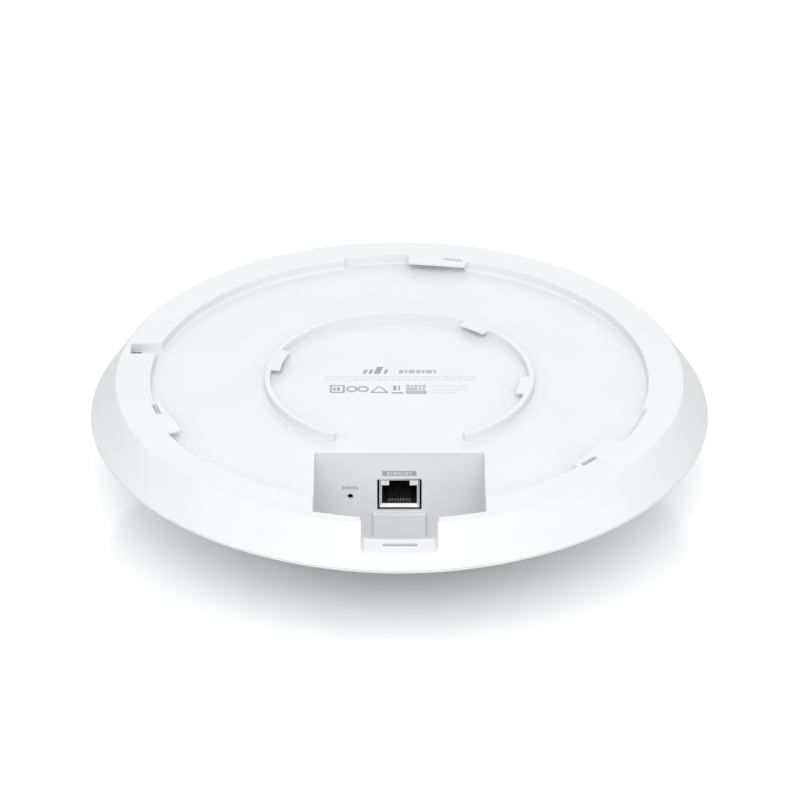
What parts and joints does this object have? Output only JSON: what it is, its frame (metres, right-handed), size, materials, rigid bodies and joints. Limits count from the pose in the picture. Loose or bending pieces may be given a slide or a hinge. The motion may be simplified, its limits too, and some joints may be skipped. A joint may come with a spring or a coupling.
{
  "type": "ceiling access point",
  "caption": "Round ceiling access point with a domed front, a light ring, and a rear recess with bayonet hooks and a pocketed network jack.",
  "frame": {"origin": "centre of the flat foot on the front dome, at the bottom of the bounding box", "axes": "+Z along the round body's axis towards the ceiling side, -Y towards the network jack's pocket"},
  "size_m": [0.22, 0.22, 0.048],
  "materials": {
    "cover_white": "smooth moulded satin",
    "housing_white": "fine-grained moulded satin",
    "button_black": "smooth moulded nylon",
    "diffuser": "milky translucent",
    "board_white": "white solder resist",
    "led_lens": "clear resin over phosphor",
    "ribbon": "polyimide film",
    "aluminium": "bead-blasted, bare",
    "antenna_metal": "tin-plated stamping",
    "board_green": "green solder resist",
    "plated_steel": "nickel-plated sheet",
    "chip_black": "black moulding compound",
    "thermal_pad": "soft silicone",
    "ferrite": "moulded ferrite",
    "insert_black": "black nylon",
    "contact_gold": "gold-plated spring wire"
  },
  "bodies": {
    "housing": {"front_cover": "cover_white", "emblem_disc": "cover_white", "light_ring": "diffuser", "led_board": "board_white", "led_1": "led_lens", "led_2": "led_lens", "led_3": "led_lens", "led_4": "led_lens", "led_5": "led_lens", "led_6": "led_lens", "led_7": "led_lens", "led_8": "led_lens", "antenna_plate": "aluminium", "antenna_low_band_1": "antenna_metal", "antenna_low_band_2": "antenna_metal", "antenna_low_band_3": "antenna_metal", "antenna_low_band_4": "antenna_metal", "antenna_high_band_1": "antenna_metal", "antenna_high_band_2": "antenna_metal", "antenna_high_band_3": "antenna_metal", "antenna_high_band_4": "antenna_metal", "led_ribbon": "ribbon", "main_board": "board_green", "processor_can": "plated_steel", "processor_chip": "chip_black", "processor_pad": "thermal_pad", "radio_left_can": "plated_steel", "radio_left_chip": "chip_black", "radio_left_pad": "thermal_pad", "radio_right_can": "plated_steel", "radio_right_chip": "chip_black", "radio_right_pad": "thermal_pad", "line_transformer": "chip_black", "power_inductor": "ferrite", "bulk_capacitor_1": "aluminium", "bulk_capacitor_2": "aluminium", "heat_sink": "aluminium", "frame_screw_1": "plated_steel", "frame_screw_2": "plated_steel", "frame_screw_3": "plated_steel", "frame_screw_4": "plated_steel", "frame_screw_5": "plated_steel", "frame_screw_6": "plated_steel", "jack_shield": "plated_steel", "jack_insert": "insert_black", "jack_light_right": "diffuser", "jack_light_left": "diffuser", "reset_switch": "chip_black", "rear_housing": "housing_white"},
    "reset_button": {"reset_button": "button_black"},
    "jack_contacts": {"jack_contact_1": "contact_gold", "jack_contact_2": "contact_gold", "jack_contact_3": "contact_gold", "jack_contact_4": "contact_gold", "jack_contact_5": "contact_gold", "jack_contact_6": "contact_gold", "jack_contact_7": "contact_gold", "jack_contact_8": "contact_gold"}
  },
  "joints": [
    {"name": "reset_press", "type": "slide", "parent": "housing", "child": "reset_button", "axis": [0, 1, 0], "range_m": [0, 0.0004], "stiffness_N_per_m": 3000},
    {"name": "contact_flex", "type": "hinge", "parent": "housing", "child": "jack_contacts", "pos_m": [0, -0.0464, 0.02372], "axis": [1, 0, 0], "range_deg": [-8, 0], "stiffness_Nm_per_rad": 0.3}
  ]
}
